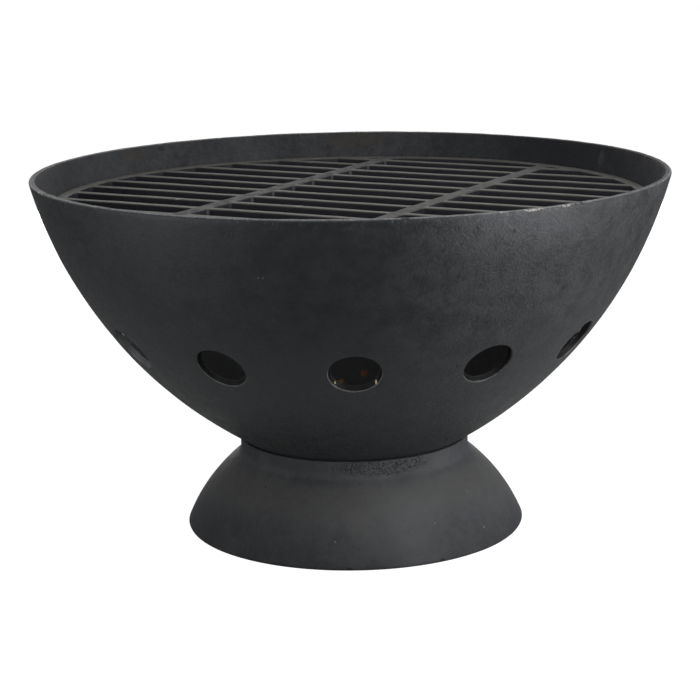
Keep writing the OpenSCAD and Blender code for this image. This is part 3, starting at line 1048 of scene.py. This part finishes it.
class FIREPIT_OT_pedestal(bpy.types.Operator):
    """Make the pedestal casting, with its flange and bolt holes"""

    bl_idname = "fire_pit.pedestal"
    bl_label = "Make Pedestal"
    bl_options = {"REGISTER", "UNDO"}

    def execute(self, context):
        scene = context.scene
        ped, fasteners = scene.fire_pit_pedestal, scene.fire_pit_fasteners
        band = bolt_band(fasteners)
        top, flange_z, opening_r = SEAT_Z, SEAT_Z - ped.flange_t, ped.opening_d / 2
        collar_r = scene.fire_pit_bowl.seat_d / 2 + ped.ledge_w
        foot_c = Vector((ped.foot_d / 2 - ped.foot_round, ped.foot_round))
        dome_c = circles_meet(foot_c, ped.arc_r - ped.foot_round,
                              Vector((collar_r, top - ped.collar_h)), ped.arc_r)
        fillet_r = collar_r + ped.collar_fillet
        reach = ped.arc_r + ped.collar_fillet
        fillet_c = Vector((fillet_r, dome_c.y + sqrt(reach ** 2 - (fillet_r - dome_c.x) ** 2)))
        inner_r = ped.arc_r - ped.wall
        flange_end, foot_end = at_height(dome_c, inner_r, flange_z), at_height(dome_c, inner_r, ped.foot_h)
        edge_c = Vector((collar_r - ped.collar_round, top - ped.collar_round))
        bm = bmesh.new()
        pen = Pen(bm, opening_r, top)
        pen.lines((band[0], top, 2), (band[1], top, 4), (edge_c.x, top, 5))
        pen.arc(edge_c, 0, 4)
        pen.line(collar_r, fillet_c.y, 2)
        pen.arc(fillet_c, heading(dome_c, fillet_c) + pi, 7)
        pen.arc(dome_c, heading(dome_c, foot_c), 30)
        pen.arc(foot_c, -pi / 2, 7)
        pen.lines((foot_end.x, 0, 3), (*foot_end, 5))
        pen.arc(dome_c, heading(dome_c, flange_end), 26)
        pen.lines((band[1], flange_z, 2), (band[0], flange_z, 4), (opening_r, flange_z, 2),
                  (opening_r, top, 3))
        turn_profile(bm, COLUMNS)
        pierce_bolt_holes(bm, fasteners, top, flange_z)
        bmesh.ops.recalc_face_normals(bm, faces=bm.faces)
        uneven(bm, depth=0.0003, size=0.05, seed=8.3,
               share=lambda co: clamp(co.z / 0.005) * clamp((top - co.z) / 0.005))
        finish = pedestal_coat(scene.fire_pit_finish)
        make_piece("pedestal_casting", bm, [finish], "pedestal")
        return {"FINISHED"}


def gap_arcs(sides, ring_r, corner):
    """Arcs round one gap between the bars, each as centre, radius, first and last heading. The gap lies inside
    a circle and four sides, given as their distances from the middle along -Y, +X, +Y and -X."""
    angles = [-pi / 2, 0.0, pi / 2, pi]
    normals = [Vector((round(cos(a)), round(sin(a)))) for a in angles]
    inset = [side - corner for side in sides]
    reach = ring_r - corner
    spans = {}
    for k in range(4):
        if abs(inset[k]) < reach:
            half = sqrt(reach ** 2 - inset[k] ** 2)
            start, end = max(-inset[k - 1], -half), min(inset[(k + 1) % 4], half)
            if start < end:
                foot, along = inset[k] * normals[k], normals[(k + 1) % 4]
                spans[k] = (foot + along * start, foot + along * end, end == half)
    arcs = []
    order = sorted(spans)
    for place, k in enumerate(order):
        after = order[(place + 1) % len(order)]
        end, on_ring = spans[k][1:]
        if not on_ring:
            arcs.append((end, corner, angles[k], angles[k] + pi / 2))
            continue
        start, last = spans[after][0], angles[after]
        leave, meet = heading((0, 0), end), heading((0, 0), start)
        arcs.append((end, corner, angles[k], leave + 2 * pi * (leave < angles[k])))
        arcs.append((Vector((0, 0)), ring_r, leave, meet + 2 * pi * (meet < leave)))
        arcs.append((start, corner, meet, last + 2 * pi * (last < meet)))
    return arcs


def draw_gap(bm, out, arcs, grow):
    """Draws the outline of a gap, grown by a distance. The layer out keeps which way it grows."""
    step, apart = 0.01, 1e-7
    first = tip = None
    for centre, radius, start, end in arcs:
        centre = centre.to_3d()
        steps = 5 if radius < step else max(1, ceil((end - start) * radius / step))
        begin = centre + (radius + grow) * towards(start).to_3d()
        if tip is None:
            first = tip = bm.verts.new(begin)
        elif (tip.co - begin).length > apart:
            tip = bmesh.ops.extrude_vert_indiv(bm, verts=[tip])["verts"][0]
            tip.co = begin
        tip[out] = (begin - centre).normalized()
        made = bmesh.ops.spin(bm, geom=[tip], cent=centre, axis=(0, 0, 1), angle=end - start, steps=steps)
        bm.verts.index_update()
        for v in bm.verts:
            if v.index > tip.index:
                v[out] = (v.co - centre).normalized()
        tip = vertices(made["geom_last"])[0]
    if (tip.co - first.co).length > apart:
        bm.edges.new((tip, first))
    else:
        bmesh.ops.pointmerge(bm, verts=[tip, first], merge_co=first.co)


def grate_levels(grate):
    """How far the grate's outline has drawn in, and how deep it lies, from its rounded top edge down."""
    foot = grate.edge * 0.4
    down = grate.depth - foot
    levels = [(grate.edge, 0.0)]
    levels += [(grate.edge * (1 - sin(a)), grate.edge * (1 - cos(a))) for a in (pi / 6, pi / 3, pi / 2)]
    levels += [(grate.draft * down / 2, down / 2), (grate.draft * down, down)]
    foot_turns = (pi / 4, pi / 2)
    return levels + [(grate.draft * down + foot * (1 - cos(a)), down + foot * sin(a)) for a in foot_turns]


def add_keels(bm, grate, ring_r, drawn_in):
    """Pulls the deeper part of the cross ribs down from the grate's lower face."""
    margin = 1e-5
    low = -grate.depth + margin
    half = grate.rib_w / 2 - drawn_in - margin
    drop = grate.rib_depth - grate.depth
    reach = ring_r - grate.rib_end
    for x in (-grate.rib_spacing / 2, grate.rib_spacing / 2):
        ends = [Vector((x, end * sqrt(reach ** 2 - x ** 2), 0)).normalized() for end in (-1, 1)]
        planes = [(Vector((x + s * half, 0, 0)), Vector((s, 0, 0))) for s in (-1, 1)]
        planes += [(end * reach, end) for end in ends]
        for point, normal in planes:
            lower = [f for f in bm.faces if f.calc_center_median().z < low]
            geom = set(lower) | {e for f in lower for e in f.edges} | {v for f in lower for v in f.verts}
            cut(bm, point, normal, list(geom))
        faces = []
        for f in bm.faces:
            co = f.calc_center_median()
            if co.z < low and all((co - p).dot(n) < 0 for p, n in planes):
                faces.append(f)
        for v in vertices(bmesh.ops.extrude_face_region(bm, geom=faces)["geom"]):
            v.co.z -= drop
            v.co.x -= (v.co.x - x) * grate.draft * drop / half
        bmesh.ops.delete(bm, geom=faces, context="FACES")


class FIREPIT_OT_grate(bpy.types.Operator):
    """Make the grate casting: a ring, straight bars and two deeper cross ribs"""

    bl_idname = "fire_pit.grate"
    bl_label = "Make Grate"
    bl_options = {"REGISTER", "UNDO"}

    def execute(self, context):
        scene = context.scene
        grate = scene.fire_pit_grate
        outer_r, ring_r = ring_radii(scene.fire_pit_bowl, grate)
        bm = bmesh.new()
        out = bm.verts.layers.float_vector.new("out")
        bar, rib, rib_x = grate.bar_w / 2, grate.rib_w / 2, grate.rib_spacing / 2
        last = int((ring_r - grate.bar_w) / grate.bar_pitch)
        rows = [(i * grate.bar_pitch + bar, (i + 1) * grate.bar_pitch - bar) for i in range(-last, last)]
        rows = [(-inf, -last * grate.bar_pitch - bar)] + rows + [(last * grate.bar_pitch + bar, inf)]
        zones = [(-inf, -rib_x - rib), (-rib_x + rib, rib_x - rib), (rib_x + rib, inf)]
        for low, high in rows:
            for left, right in zones:
                gap = bmesh.new()
                layer = gap.verts.layers.float_vector.new("out")
                draw_gap(gap, layer, gap_arcs((-low, right, high, -left), ring_r, grate.corner), grate.edge)
                join(bm, gap)
        for v in circle_in(bm, 288, outer_r - grate.edge, Matrix())[0]:
            v[out] = -v.co.normalized()
        rings = bm.edges[:]
        bmesh.ops.triangle_fill(bm, use_beauty=True, use_dissolve=False, edges=rings, normal=(0, 0, 1))
        levels = grate_levels(grate)
        for before, level in zip(levels, levels[1:]):
            verts, rings = extrude_ring(bm, rings)
            for v in verts:
                v.co += v[out] * (level[0] - before[0]) - Vector((0, 0, level[1] - before[1]))
        bmesh.ops.triangle_fill(bm, use_beauty=True, use_dissolve=False, edges=rings, normal=(0, 0, -1))
        add_keels(bm, grate, ring_r, levels[-1][0])
        for k in range(-28, 29):
            cut(bm, (k * 0.01, 0, 0), (1, 0, 0))
            cut(bm, (0, k * grate.bar_pitch / 4, 0), (0, 1, 0))
        bmesh.ops.recalc_face_normals(bm, faces=bm.faces)
        uneven(bm, depth=0.0003, size=0.05, seed=1.9)
        bm.transform(Matrix.Translation((0, 0, GRATE_Z)) @ Matrix.Rotation(grate.turn, 4, "Z"))
        finish = dusty_iron(scene.fire_pit_finish)
        make_piece("grate_casting", bm, [finish], "cooking_grate", body="grate")
        return {"FINISHED"}


def hexagon(bm, fasteners, low, high, both_ends):
    """A hexagon with chamfered corners at its upper end, or at both ends, made where a turned blank and a
    hexagonal prism meet."""
    flat = fasteners.hex_w / 2
    corner = flat / cos(pi / 6)
    wide, narrow = corner * 1.01, flat * 0.97
    fall = (corner - narrow) * 0.577  # a chamfer of 30 degrees
    blank = bmesh.new()
    pen = Pen(blank, 0, low)
    if both_ends:
        pen.lines((narrow, low), (wide, low + fall))
    else:
        pen.line(wide, low)
    pen.lines((wide, high - fall), (narrow, high), (0, high))
    turn_profile(blank, FASTENER_COLUMNS)
    for i in range(6):
        out = towards((i + 0.5) * pi / 3).to_3d()
        edges = cut(blank, out * flat, out, near=1e-7, clear_outer=True)
        bmesh.ops.contextual_create(blank, geom=edges)
    join(bm, blank)


def add_thread(bm, fasteners, low, high):
    """Adds a thread between two heights, with its lower end chamfered."""
    steps, chamfer = 32, 0.0009
    r, pitch = fasteners.bolt_d / 2, fasteners.pitch
    root = r - pitch * 0.61
    thread = bmesh.new()
    pen = Pen(thread, root, low - pitch)
    pen.lines((root, low - pitch * 0.85), (r, low - pitch * 0.5), (r, low - pitch * 0.35), (root, low))
    turns = ceil((high - low) / pitch) + 2
    bmesh.ops.spin(thread, geom=everything(thread), cent=(0, 0, 0), axis=(0, 0, 1),
                   dvec=(0, 0, pitch / steps), angle=2 * pi * turns, steps=steps * turns)
    bmesh.ops.remove_doubles(thread, verts=thread.verts, dist=MERGE)
    for z, side in ((low, "clear_inner"), (high + OVERLAP, "clear_outer")):
        edges = cut(thread, (0, 0, z), (0, 0, 1), near=1e-7, **{side: True})
        bmesh.ops.contextual_create(thread, geom=edges)
    for v in thread.verts:
        at = hypot(v.co.x, v.co.y)
        allowed = r - chamfer + max(0.0, v.co.z - low)
        if at > allowed:
            v.co.xy *= allowed / at
    bmesh.ops.recalc_face_normals(thread, faces=thread.faces)
    join(bm, thread)


def make_fasteners(name, bm, scene, node):
    """Sets a copy of what stands on the axis at each bolt's place, and makes them one piece."""
    source = bpy.data.meshes.new("source")
    bm.to_mesh(source)
    bm.clear()
    for place in bolt_places(scene.fire_pit_fasteners):
        copy = bmesh.new()
        copy.from_mesh(source)
        copy.transform(place)
        join(bm, copy)
    bpy.data.meshes.remove(source)
    mark_edges(bm)
    make_piece(name, bm, [zinc_plate(scene.fire_pit_finish)], node, sharp=30)


class FIREPIT_OT_bolts(bpy.types.Operator):
    """Make the hexagon bolts, with their threads"""

    bl_idname = "fire_pit.bolts"
    bl_label = "Make Bolts"
    bl_options = {"REGISTER", "UNDO"}

    def execute(self, context):
        scene = context.scene
        s = scene.fire_pit_fasteners
        head_z = SEAT_Z + scene.fire_pit_bowl.floor_t + s.washer_t
        thread_l = 0.018
        neck_z = BOLT_END_Z + thread_l
        r = s.bolt_d / 2
        bm = bmesh.new()
        hexagon(bm, s, head_z, head_z + s.head_h, False)
        shank = bmesh.new()
        pen = Pen(shank, 0, head_z + OVERLAP)
        pen.lines((r, head_z + OVERLAP), (r, neck_z), (0, neck_z))
        turn_profile(shank, 36)
        join(bm, shank)
        add_thread(bm, s, BOLT_END_Z, neck_z)
        make_fasteners("hex_bolts", bm, scene, "bolts")
        return {"FINISHED"}


class FIREPIT_OT_washers(bpy.types.Operator):
    """Make the flat washers on the bowl's floor and under the flange"""

    bl_idname = "fire_pit.washers"
    bl_label = "Make Washers"
    bl_options = {"REGISTER", "UNDO"}

    def execute(self, context):
        scene = context.scene
        s = scene.fire_pit_fasteners
        bore, rim, edge = s.bolt_d / 2 + s.bore_gap, s.washer_d / 2, 0.00025
        for name, node in (("washers_on_floor", "bowl_washers"), ("washers_under_flange", "flange_washers")):
            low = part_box(node)[0].z
            high = low + s.washer_t
            bm = bmesh.new()
            pen = Pen(bm, bore, low)
            pen.line(rim - edge, low, 2)
            pen.arc(Vector((rim - edge, low + edge)), 0, 3)
            pen.line(rim, high - edge)
            pen.arc(Vector((rim - edge, high - edge)), pi / 2, 3)
            pen.lines((bore, high, 2), (bore, low))
            turn_profile(bm, FASTENER_COLUMNS)
            make_fasteners(name, bm, scene, node)
        return {"FINISHED"}


class FIREPIT_OT_nuts(bpy.types.Operator):
    """Make the hexagon nuts under the flange"""

    bl_idname = "fire_pit.nuts"
    bl_label = "Make Nuts"
    bl_options = {"REGISTER", "UNDO"}

    def execute(self, context):
        scene = context.scene
        s = scene.fire_pit_fasteners
        low, high = NUT_LOW_Z, NUT_LOW_Z + s.nut_t
        bore, sink = s.bolt_d / 2 + s.bore_gap, 0.0006
        bm = bmesh.new()
        hexagon(bm, s, low, high, True)
        for z in (low, high):
            cap = [f for f in bm.faces
                   if abs(f.calc_center_median().z - z) < MERGE and abs(f.normal.z) > 0.99]
            bmesh.ops.dissolve_faces(bm, faces=cap)
        caps = [f for f in bm.faces if abs(f.normal.z) > 0.99 and len(f.verts) > 12]
        if len(caps) != 2:
            raise RuntimeError(f"a nut has {len(caps)} flat ends, and it needs 2")
        ends = []
        for cap in caps:
            z = cap.calc_center_median().z
            inwards = -sink if z > (low + high) / 2 else sink
            rim = list(cap.edges)
            bmesh.ops.delete(bm, geom=[cap], context="FACES_ONLY")
            edges = circle_in(bm, len(rim), bore + sink, Matrix.Translation((0, 0, z)))[1]
            bmesh.ops.bridge_loops(bm, edges=rim + edges)
            verts, edges = extrude_ring(bm, edges)
            for v in verts:
                v.co.xy *= bore / (bore + sink)
                v.co.z += inwards
            ends += edges
        bmesh.ops.bridge_loops(bm, edges=ends)
        bmesh.ops.recalc_face_normals(bm, faces=bm.faces)
        make_fasteners("hex_nuts", bm, scene, "nuts")
        return {"FINISHED"}


# ---------------------------------------------------------------------------------------------------------
# Stage
# ---------------------------------------------------------------------------------------------------------

LAMPS = {  # where each lamp stands, its size and what it faces
    "right_high": ((1.5, -0.9, 1.5), (0.8, 0.8), (0, 0, 0.2)),
    "right_front": ((1.2, -1.0, 0.35), (0.5, 0.5), (0.2, -0.1, 0.25)),
    "right_low": ((1.0, -0.5, 0.14), (0.6, 0.26), (0.2, -0.1, 0.25)),
    "left_low": ((-0.9, -0.6, 0.14), (0.6, 0.26), (-0.2, -0.1, 0.25)),
    "front": ((0, -2.5, 1.4), (1.4, 1.0), (0, 0, 0.2)),
    "back_low": ((0, 2.0, 0.16), (1.2, 0.28), (0, 0, 0.2)),
}
FLOOR_R = 20  # radius of the floor, in metres


def floor_finish():
    """A pale matt floor that shows white and keeps a soft shadow of the pit. Metal mirrors a little."""
    f = Finish("floor")
    f.tree.nodes.remove(f.shader)
    away = f.at.length()

    def matt(glow, grey):
        return f.node("AddShader", inputs={
            0: f.node("Emission", inputs={"Strength": glow}),
            1: f.node("BsdfDiffuse", inputs={"Color": (grey, grey, grey, 1.0)})})

    shown = matt(away.ramp(0.17, 0.28, 0.97, 1.01), 0.3)
    mirrored = f.ray("Glossy").most(f.ray("Transmission"))
    real = matt(mirrored * away.ramp(0.5, 0.9, 0.12, 0.0), 0.7)
    both = f.node("MixShader", inputs={0: f.ray("Camera"), 1: real, 2: shown})
    f.feed(f.tree.nodes["Material Output"].inputs["Surface"], both)
    return f.material


def light_world(scene, ambient):
    """A white surround for what is seen directly or mirrored, and a fainter one for everything else."""
    scene.world = bpy.data.worlds.new("surround")
    surround = Nodes(scene.world)
    seen = surround.ray("Camera").most(surround.ray("Glossy")).most(surround.ray("Transmission"))
    level = surround.node("MapRange", inputs={"Value": seen, "To Min": ambient})
    background = surround.tree.nodes["Background"].inputs
    surround.feed(background["Color"], (1.0, 1.0, 1.0, 1.0))
    surround.feed(background["Strength"], level)


def add_lamp(name, at, size, aim, watts):
    """A soft rectangular lamp."""
    lamp = bpy.data.lights.new(name, "AREA")
    lamp.shape = "RECTANGLE"
    lamp.size, lamp.size_y = size
    lamp.energy = watts
    place = bpy.data.objects.new(name, lamp)
    place.location = at
    place.rotation_euler = (Vector(aim) - Vector(at)).to_track_quat("-Z", "Y").to_euler()
    bpy.context.scene.collection.objects.link(place)


def add_camera(scene, stage):
    """The camera, from the front and a little above."""
    ahead = Vector((sin(stage.yaw) * cos(stage.pitch), cos(stage.yaw) * cos(stage.pitch), -sin(stage.pitch)))
    aside = Vector((cos(stage.yaw), -sin(stage.yaw), 0))
    up = aside.cross(ahead)
    lean = Matrix.Rotation(-stage.roll, 3, ahead)
    camera = bpy.data.cameras.new("camera")
    camera.lens = stage.lens
    camera.sensor_width = 36
    camera.clip_end = 100
    place = bpy.data.objects.new("camera", camera)
    axes = Matrix((lean @ aside, lean @ up, -ahead)).transposed().to_4x4()
    at = Matrix.Translation((0, -stage.distance, stage.height))
    place.matrix_world = Matrix.Rotation(stage.azimuth, 4, "Z") @ at @ axes
    scene.collection.objects.link(place)
    scene.camera = place


class FIREPIT_OT_stage(bpy.types.Operator):
    """Make the floor, the lamps, the surround and the camera"""

    bl_idname = "fire_pit.stage"
    bl_label = "Make Stage"
    bl_options = {"REGISTER", "UNDO"}

    def execute(self, context):
        scene = context.scene
        stage = scene.fire_pit_stage
        bm = bmesh.new()
        bmesh.ops.create_circle(bm, cap_ends=True, segments=96, radius=FLOOR_R)
        mesh = to_mesh(bm, "floor")
        mesh.materials.append(floor_finish())
        floor = bpy.data.objects.new("floor", mesh)
        scene.collection.objects.link(floor)
        for name, (at, size, aim) in LAMPS.items():
            add_lamp(name, at, size, aim, getattr(stage, name))
        light_world(scene, stage.ambient)
        scene.view_settings.view_transform = "Standard"
        add_camera(scene, stage)
        return {"FINISHED"}


# ---------------------------------------------------------------------------------------------------------
# Panel and registration
# ---------------------------------------------------------------------------------------------------------

OPERATORS = {  # each operator, with the settings that the panel shows above it
    FIREPIT_OT_bowl: ("fire_pit_bowl",),
    FIREPIT_OT_pedestal: ("fire_pit_pedestal",),
    FIREPIT_OT_grate: ("fire_pit_grate",),
    FIREPIT_OT_bolts: ("fire_pit_fasteners",),
    FIREPIT_OT_washers: (),
    FIREPIT_OT_nuts: (),
    FIREPIT_OT_stage: ("fire_pit_finish", "fire_pit_stage"),
}


class FIREPIT_PT_panel(bpy.types.Panel):
    """Sizes, colours and steps of the fire pit"""

    bl_idname = "FIREPIT_PT_panel"
    bl_label = "Fire Pit"
    bl_space_type = "VIEW_3D"
    bl_region_type = "UI"
    bl_category = "Fire Pit"

    def draw(self, context):
        for operator, groups in OPERATORS.items():
            box = self.layout.box()
            for group in groups:
                for name in SETTINGS[group].__annotations__:
                    box.prop(getattr(context.scene, group), name)
            box.operator(operator.bl_idname)


CLASSES = (*SETTINGS.values(), *OPERATORS, FIREPIT_PT_panel)


def register():
    for cls in CLASSES:
        bpy.utils.register_class(cls)
    for name, group in SETTINGS.items():
        setattr(bpy.types.Scene, name, PointerProperty(type=group))


def unregister():
    for name in SETTINGS:
        delattr(bpy.types.Scene, name)
    for cls in reversed(CLASSES):
        bpy.utils.unregister_class(cls)


def main():
    """Makes every piece and the stage."""
    register()
    bpy.ops.fire_pit.bowl()
    bpy.ops.fire_pit.pedestal()
    bpy.ops.fire_pit.grate()
    bpy.ops.fire_pit.bolts()
    bpy.ops.fire_pit.washers()
    bpy.ops.fire_pit.nuts()
    bpy.ops.fire_pit.stage()


if __name__ == "__main__":
    main()
